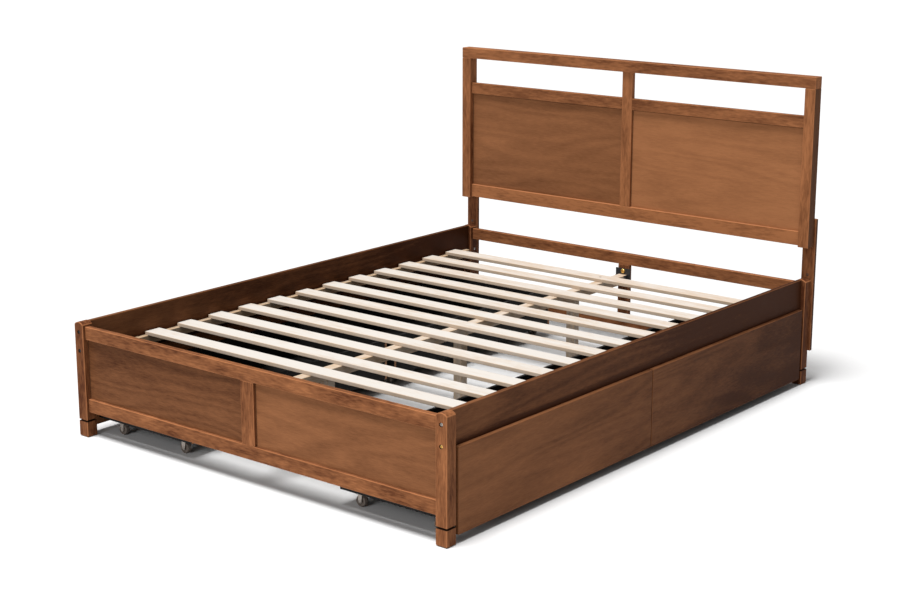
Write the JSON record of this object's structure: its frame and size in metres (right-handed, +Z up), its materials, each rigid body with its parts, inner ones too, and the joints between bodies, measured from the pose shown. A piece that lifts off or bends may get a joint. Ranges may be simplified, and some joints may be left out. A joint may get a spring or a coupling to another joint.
{
  "type": "platform bed with storage drawers",
  "caption": "Queen platform bed with slatted deck, panelled footboard and headboard, and rolling storage drawers under both sides.",
  "frame": {"origin": "on the floor, in the middle of the footprint", "axes": "+Z up, +Y from the footboard to the headboard, +X to the right seen from the foot end"},
  "size_m": [1.628, 2.1282, 1.143],
  "materials": {
    "walnut_solid": "warm mid-brown walnut stain on solid wood, satin lacquer",
    "walnut_veneer": "walnut-stained veneer on flat panels, satin lacquer",
    "pale_wood": "unfinished pale softwood, planed",
    "plywood_edge": "raw board edge",
    "black_board": "board faced with black film, satin",
    "caster_wheel": "grey moulded wheel",
    "zinc_steel": "zinc-plated pressed steel",
    "yellow_zinc": "yellow-passivated screws and bolts",
    "black_steel": "black powder-coated hanger",
    "foot_glide": "dark moulded glide"
  },
  "bodies": {
    "bed_frame": {"post_left_foot": "walnut_solid", "post_right_foot": "walnut_solid", "post_left_head": "walnut_solid", "post_right_head": "walnut_solid", "foot_top_rail": "walnut_solid", "foot_bottom_rail": "walnut_solid", "foot_mullion": "walnut_solid", "foot_panel_left": "walnut_veneer", "foot_panel_right": "walnut_veneer", "head_cross_frame": "walnut_solid", "side_rail_left": "walnut_solid", "side_rail_right": "walnut_solid", "centre_beam": "pale_wood", "slat_01": "pale_wood", "slat_02": "pale_wood", "slat_03": "pale_wood", "slat_04": "pale_wood", "slat_05": "pale_wood", "slat_06": "pale_wood", "slat_07": "pale_wood", "slat_08": "pale_wood", "slat_09": "pale_wood", "slat_10": "pale_wood", "slat_11": "pale_wood", "slat_12": "pale_wood", "slat_13": "pale_wood", "headboard_top_rail": "walnut_solid", "headboard_stile_left": "walnut_solid", "headboard_stile_right": "walnut_solid", "headboard_bottom_rail": "walnut_solid", "headboard_mid_rail": "walnut_solid", "headboard_mullion": "walnut_solid", "headboard_panel_left": "walnut_veneer", "headboard_panel_right": "walnut_veneer", "headboard_leg_left": "walnut_solid", "headboard_leg_right": "walnut_solid"},
    "drawer_left_foot": {"drawer_left_foot_front": "walnut_veneer", "drawer_left_foot_box": "black_board"},
    "drawer_left_head": {"drawer_left_head_front": "walnut_veneer", "drawer_left_head_box": "black_board"},
    "drawer_right_foot": {"drawer_right_foot_front": "walnut_veneer", "drawer_right_foot_box": "black_board"},
    "drawer_right_head": {"drawer_right_head_front": "walnut_veneer", "drawer_right_head_box": "black_board"},
    "wheel_left_foot_1": {"drawer_left_foot_wheel_1": "caster_wheel"},
    "wheel_left_foot_2": {"drawer_left_foot_wheel_2": "caster_wheel"},
    "wheel_left_foot_3": {"drawer_left_foot_wheel_3": "caster_wheel"},
    "wheel_left_foot_4": {"drawer_left_foot_wheel_4": "caster_wheel"},
    "wheel_left_head_1": {"drawer_left_head_wheel_1": "caster_wheel"},
    "wheel_left_head_2": {"drawer_left_head_wheel_2": "caster_wheel"},
    "wheel_left_head_3": {"drawer_left_head_wheel_3": "caster_wheel"},
    "wheel_left_head_4": {"drawer_left_head_wheel_4": "caster_wheel"},
    "wheel_right_foot_1": {"drawer_right_foot_wheel_1": "caster_wheel"},
    "wheel_right_foot_2": {"drawer_right_foot_wheel_2": "caster_wheel"},
    "wheel_right_foot_3": {"drawer_right_foot_wheel_3": "caster_wheel"},
    "wheel_right_foot_4": {"drawer_right_foot_wheel_4": "caster_wheel"},
    "wheel_right_head_1": {"drawer_right_head_wheel_1": "caster_wheel"},
    "wheel_right_head_2": {"drawer_right_head_wheel_2": "caster_wheel"},
    "wheel_right_head_3": {"drawer_right_head_wheel_3": "caster_wheel"},
    "wheel_right_head_4": {"drawer_right_head_wheel_4": "caster_wheel"}
  },
  "joints": [
    {"name": "left_foot_drawer_slide", "type": "slide", "parent": "bed_frame", "child": "drawer_left_foot", "axis": [-1, 0, 0], "range_m": [0, 0.42]},
    {"name": "left_head_drawer_slide", "type": "slide", "parent": "bed_frame", "child": "drawer_left_head", "axis": [-1, 0, 0], "range_m": [0, 0.42]},
    {"name": "right_foot_drawer_slide", "type": "slide", "parent": "bed_frame", "child": "drawer_right_foot", "axis": [1, 0, 0], "range_m": [0, 0.42]},
    {"name": "right_head_drawer_slide", "type": "slide", "parent": "bed_frame", "child": "drawer_right_head", "axis": [1, 0, 0], "range_m": [0, 0.42]},
    {"name": "left_foot_wheel_1_roll", "type": "hinge", "parent": "drawer_left_foot", "child": "wheel_left_foot_1", "pos_m": [-0.39, -0.96015, 0.019], "axis": [0, 1, 0], "range_deg": [-1275, 5]},
    {"name": "left_foot_wheel_2_roll", "type": "hinge", "parent": "drawer_left_foot", "child": "wheel_left_foot_2", "pos_m": [-0.39, -0.05965, 0.019], "axis": [0, 1, 0], "range_deg": [-1275, 5]},
    {"name": "left_foot_wheel_3_roll", "type": "hinge", "parent": "drawer_left_foot", "child": "wheel_left_foot_3", "pos_m": [-0.696, -0.96015, 0.019], "axis": [0, 1, 0], "range_deg": [-1275, 5]},
    {"name": "left_foot_wheel_4_roll", "type": "hinge", "parent": "drawer_left_foot", "child": "wheel_left_foot_4", "pos_m": [-0.696, -0.05965, 0.019], "axis": [0, 1, 0], "range_deg": [-1275, 5]},
    {"name": "left_head_wheel_1_roll", "type": "hinge", "parent": "drawer_left_head", "child": "wheel_left_head_1", "pos_m": [-0.39, 0.04435, 0.019], "axis": [0, 1, 0], "range_deg": [-1275, 5]},
    {"name": "left_head_wheel_2_roll", "type": "hinge", "parent": "drawer_left_head", "child": "wheel_left_head_2", "pos_m": [-0.39, 0.94485, 0.019], "axis": [0, 1, 0], "range_deg": [-1275, 5]},
    {"name": "left_head_wheel_3_roll", "type": "hinge", "parent": "drawer_left_head", "child": "wheel_left_head_3", "pos_m": [-0.696, 0.04435, 0.019], "axis": [0, 1, 0], "range_deg": [-1275, 5]},
    {"name": "left_head_wheel_4_roll", "type": "hinge", "parent": "drawer_left_head", "child": "wheel_left_head_4", "pos_m": [-0.696, 0.94485, 0.019], "axis": [0, 1, 0], "range_deg": [-1275, 5]},
    {"name": "right_foot_wheel_1_roll", "type": "hinge", "parent": "drawer_right_foot", "child": "wheel_right_foot_1", "pos_m": [0.39, -0.96015, 0.019], "axis": [0, 1, 0], "range_deg": [-5, 1275]},
    {"name": "right_foot_wheel_2_roll", "type": "hinge", "parent": "drawer_right_foot", "child": "wheel_right_foot_2", "pos_m": [0.39, -0.05965, 0.019], "axis": [0, 1, 0], "range_deg": [-5, 1275]},
    {"name": "right_foot_wheel_3_roll", "type": "hinge", "parent": "drawer_right_foot", "child": "wheel_right_foot_3", "pos_m": [0.696, -0.96015, 0.019], "axis": [0, 1, 0], "range_deg": [-5, 1275]},
    {"name": "right_foot_wheel_4_roll", "type": "hinge", "parent": "drawer_right_foot", "child": "wheel_right_foot_4", "pos_m": [0.696, -0.05965, 0.019], "axis": [0, 1, 0], "range_deg": [-5, 1275]},
    {"name": "right_head_wheel_1_roll", "type": "hinge", "parent": "drawer_right_head", "child": "wheel_right_head_1", "pos_m": [0.39, 0.04435, 0.019], "axis": [0, 1, 0], "range_deg": [-5, 1275]},
    {"name": "right_head_wheel_2_roll", "type": "hinge", "parent": "drawer_right_head", "child": "wheel_right_head_2", "pos_m": [0.39, 0.94485, 0.019], "axis": [0, 1, 0], "range_deg": [-5, 1275]},
    {"name": "right_head_wheel_3_roll", "type": "hinge", "parent": "drawer_right_head", "child": "wheel_right_head_3", "pos_m": [0.696, 0.04435, 0.019], "axis": [0, 1, 0], "range_deg": [-5, 1275]},
    {"name": "right_head_wheel_4_roll", "type": "hinge", "parent": "drawer_right_head", "child": "wheel_right_head_4", "pos_m": [0.696, 0.94485, 0.019], "axis": [0, 1, 0], "range_deg": [-5, 1275]}
  ],
  "couplings": [
    {"joint": "left_foot_wheel_1_roll", "follows": "left_foot_drawer_slide", "rad_per_m": -52.632},
    {"joint": "left_foot_wheel_2_roll", "follows": "left_foot_drawer_slide", "rad_per_m": -52.632},
    {"joint": "left_foot_wheel_3_roll", "follows": "left_foot_drawer_slide", "rad_per_m": -52.632},
    {"joint": "left_foot_wheel_4_roll", "follows": "left_foot_drawer_slide", "rad_per_m": -52.632},
    {"joint": "left_head_wheel_1_roll", "follows": "left_head_drawer_slide", "rad_per_m": -52.632},
    {"joint": "left_head_wheel_2_roll", "follows": "left_head_drawer_slide", "rad_per_m": -52.632},
    {"joint": "left_head_wheel_3_roll", "follows": "left_head_drawer_slide", "rad_per_m": -52.632},
    {"joint": "left_head_wheel_4_roll", "follows": "left_head_drawer_slide", "rad_per_m": -52.632},
    {"joint": "right_foot_wheel_1_roll", "follows": "right_foot_drawer_slide", "rad_per_m": 52.632},
    {"joint": "right_foot_wheel_2_roll", "follows": "right_foot_drawer_slide", "rad_per_m": 52.632},
    {"joint": "right_foot_wheel_3_roll", "follows": "right_foot_drawer_slide", "rad_per_m": 52.632},
    {"joint": "right_foot_wheel_4_roll", "follows": "right_foot_drawer_slide", "rad_per_m": 52.632},
    {"joint": "right_head_wheel_1_roll", "follows": "right_head_drawer_slide", "rad_per_m": 52.632},
    {"joint": "right_head_wheel_2_roll", "follows": "right_head_drawer_slide", "rad_per_m": 52.632},
    {"joint": "right_head_wheel_3_roll", "follows": "right_head_drawer_slide", "rad_per_m": 52.632},
    {"joint": "right_head_wheel_4_roll", "follows": "right_head_drawer_slide", "rad_per_m": 52.632}
  ]
}
